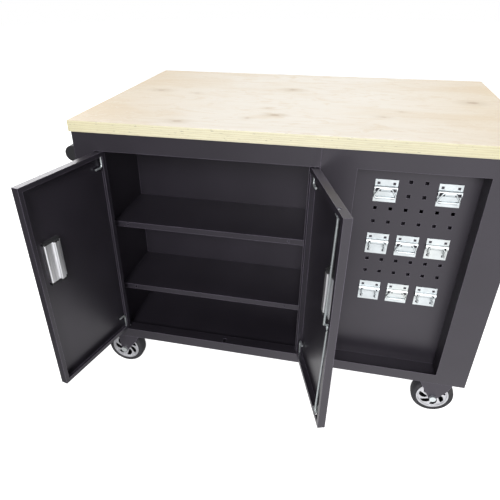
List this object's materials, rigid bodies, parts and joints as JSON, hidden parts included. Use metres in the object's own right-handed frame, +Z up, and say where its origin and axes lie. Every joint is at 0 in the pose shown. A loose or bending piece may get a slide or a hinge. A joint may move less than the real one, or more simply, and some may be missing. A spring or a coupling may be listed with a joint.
{
  "type": "tool trolley with workbench",
  "caption": "Mobile steel tool cabinet with a thick plywood workbench top, open double-door cupboard, perforated tool bay, rear drawers and swivel casters.",
  "frame": {"origin": "on the floor, under the middle of the trolley's box with both doors open", "axes": "+X to the right along the front, -Y towards someone who stands at the doors, +Z up"},
  "size_m": [1.1789, 1.001, 0.87],
  "materials": {
    "cabinet_steel": "satin powder coat",
    "inner_steel": "matt powder coat",
    "fork_steel": "satin",
    "plywood": "clear lacquer",
    "pull": "brushed",
    "zinc": "bright zinc plate",
    "rim": "satin",
    "plastic": "fine grain",
    "tyre": "matt"
  },
  "bodies": {
    "cabinet": {"worktop": "plywood", "top_braces": "inner_steel", "left_side": "cabinet_steel", "right_side": "cabinet_steel", "base_frame": "inner_steel", "cabinet_floor": "inner_steel", "cupboard_frame": "cabinet_steel", "bay_frame": "cabinet_steel", "divider": "inner_steel", "cupboard_liner": "inner_steel", "peg_panel": "cabinet_steel", "rear_frame": "cabinet_steel", "drawer_walls": "inner_steel", "shelf_upper": "inner_steel", "shelf_lower": "inner_steel", "shelf_pins": "zinc", "slide_channels": "zinc", "holder_plates": "zinc", "wire_hooks": "zinc", "handle_brackets": "plastic", "push_handle": "cabinet_steel", "caster_plates": "zinc", "fixed_forks": "fork_steel", "fixed_axles": "zinc", "fasteners": "zinc"},
    "door_left_body": {"door_left": "cabinet_steel", "pull_left": "pull", "pins_left": "zinc"},
    "door_right_body": {"door_right": "cabinet_steel", "pull_right": "pull", "pins_right": "zinc", "lock_barrel": "zinc", "rod_guides": "zinc"},
    "cam_body": {"lock_cam": "zinc"},
    "rod_upper_body": {"rod_upper": "zinc"},
    "rod_lower_body": {"rod_lower": "zinc"},
    "ring_top_left_body": {"ring_top_left": "zinc"},
    "ring_top_right_body": {"ring_top_right": "zinc"},
    "ring_middle_body": {"ring_middle": "zinc"},
    "ring_bottom_body": {"ring_bottom": "zinc"},
    "swivel_front_body": {"swivel_fork_front": "fork_steel", "swivel_axle_front": "zinc"},
    "pedal_front_body": {"brake_pedal_front": "plastic"},
    "wheel_left_front_body": {"tyre_left_front": "tyre", "rim_left_front": "rim"},
    "wheel_right_front_body": {"tyre_right_front": "tyre", "rim_right_front": "rim"},
    "swivel_rear_body": {"swivel_fork_rear": "fork_steel", "swivel_axle_rear": "zinc"},
    "pedal_rear_body": {"brake_pedal_rear": "plastic"},
    "wheel_left_rear_body": {"tyre_left_rear": "tyre", "rim_left_rear": "rim"},
    "wheel_right_rear_body": {"tyre_right_rear": "tyre", "rim_right_rear": "rim"},
    "drawer_wide_top_body": {"drawer_wide_top": "cabinet_steel"},
    "drawer_wide_middle_body": {"drawer_wide_middle": "cabinet_steel"},
    "drawer_wide_low_body": {"drawer_wide_low": "cabinet_steel"},
    "drawer_narrow_top_body": {"drawer_narrow_top": "cabinet_steel"},
    "drawer_narrow_middle_body": {"drawer_narrow_middle": "cabinet_steel"},
    "drawer_narrow_low_body": {"drawer_narrow_low": "cabinet_steel"}
  },
  "joints": [
    {"name": "door_left_hinge", "type": "hinge", "parent": "cabinet", "child": "door_left_body", "pos_m": [-0.476, -0.22146, 0.48], "axis": [0, 0, 1], "range_deg": [-5, 104]},
    {"name": "door_right_hinge", "type": "hinge", "parent": "cabinet", "child": "door_right_body", "pos_m": [0.0965, -0.22146, 0.48], "axis": [0, 0, 1], "range_deg": [-108, 1]},
    {"name": "lock_cam_turn", "type": "hinge", "parent": "door_right_body", "child": "cam_body", "pos_m": [0.1712, -0.45138, 0.483], "axis": [0.9511, 0.309, 0], "range_deg": [0, 35.5]},
    {"name": "rod_upper_slide", "type": "slide", "parent": "door_right_body", "child": "rod_upper_body", "axis": [0, 0, 1], "range_m": [0, 0.00822]},
    {"name": "rod_lower_slide", "type": "slide", "parent": "door_right_body", "child": "rod_lower_body", "axis": [0, 0, -1], "range_m": [0, 0.00832]},
    {"name": "ring_top_left_swing", "type": "hinge", "parent": "cabinet", "child": "ring_top_left_body", "pos_m": [0.274, -0.17086, 0.724], "axis": [-1, 0, 0], "range_deg": [0, 88]},
    {"name": "ring_top_right_swing", "type": "hinge", "parent": "cabinet", "child": "ring_top_right_body", "pos_m": [0.426, -0.17086, 0.724], "axis": [-1, 0, 0], "range_deg": [0, 88]},
    {"name": "ring_middle_swing", "type": "hinge", "parent": "cabinet", "child": "ring_middle_body", "pos_m": [0.35, -0.17086, 0.572], "axis": [-1, 0, 0], "range_deg": [0, 88]},
    {"name": "ring_bottom_swing", "type": "hinge", "parent": "cabinet", "child": "ring_bottom_body", "pos_m": [0.35, -0.17086, 0.42], "axis": [-1, 0, 0], "range_deg": [0, 88]},
    {"name": "swivel_front_turn", "type": "hinge", "parent": "cabinet", "child": "swivel_front_body", "pos_m": [-0.4795, -0.16646, 0.1427], "axis": [0, 0, 1], "continuous": true},
    {"name": "wheel_left_front_spin", "type": "hinge", "parent": "swivel_front_body", "child": "wheel_left_front_body", "pos_m": [-0.5105, -0.16646, 0.0625], "axis": [0, 1, 0], "continuous": true},
    {"name": "wheel_right_front_spin", "type": "hinge", "parent": "cabinet", "child": "wheel_right_front_body", "pos_m": [0.5125, -0.16646, 0.0625], "axis": [0, 1, 0], "continuous": true},
    {"name": "pedal_front_press", "type": "hinge", "parent": "swivel_front_body", "child": "pedal_front_body", "pos_m": [-0.5195, -0.16646, 0.1317], "axis": [0, -1, 0], "range_deg": [0, 12]},
    {"name": "swivel_rear_turn", "type": "hinge", "parent": "cabinet", "child": "swivel_rear_body", "pos_m": [-0.4795, 0.42754, 0.1427], "axis": [0, 0, 1], "continuous": true},
    {"name": "wheel_left_rear_spin", "type": "hinge", "parent": "swivel_rear_body", "child": "wheel_left_rear_body", "pos_m": [-0.5105, 0.42754, 0.0625], "axis": [0, 1, 0], "continuous": true},
    {"name": "wheel_right_rear_spin", "type": "hinge", "parent": "cabinet", "child": "wheel_right_rear_body", "pos_m": [0.5125, 0.42754, 0.0625], "axis": [0, 1, 0], "continuous": true},
    {"name": "pedal_rear_press", "type": "hinge", "parent": "swivel_rear_body", "child": "pedal_rear_body", "pos_m": [-0.5195, 0.42754, 0.1317], "axis": [0, -1, 0], "range_deg": [0, 12]},
    {"name": "drawer_wide_top_slide", "type": "slide", "parent": "cabinet", "child": "drawer_wide_top_body", "axis": [0, 1, 0], "range_m": [0, 0.33]},
    {"name": "drawer_wide_middle_slide", "type": "slide", "parent": "cabinet", "child": "drawer_wide_middle_body", "axis": [0, 1, 0], "range_m": [0, 0.33]},
    {"name": "drawer_wide_low_slide", "type": "slide", "parent": "cabinet", "child": "drawer_wide_low_body", "axis": [0, 1, 0], "range_m": [0, 0.33]},
    {"name": "drawer_narrow_top_slide", "type": "slide", "parent": "cabinet", "child": "drawer_narrow_top_body", "axis": [0, 1, 0], "range_m": [0, 0.33]},
    {"name": "drawer_narrow_middle_slide", "type": "slide", "parent": "cabinet", "child": "drawer_narrow_middle_body", "axis": [0, 1, 0], "range_m": [0, 0.33]},
    {"name": "drawer_narrow_low_slide", "type": "slide", "parent": "cabinet", "child": "drawer_narrow_low_body", "axis": [0, 1, 0], "range_m": [0, 0.33]}
  ],
  "couplings": [
    {"joint": "lock_cam_turn", "follows": "rod_upper_slide", "rad_per_m": 74.311},
    {"joint": "rod_lower_slide", "follows": "rod_upper_slide", "ratio": 1}
  ]
}
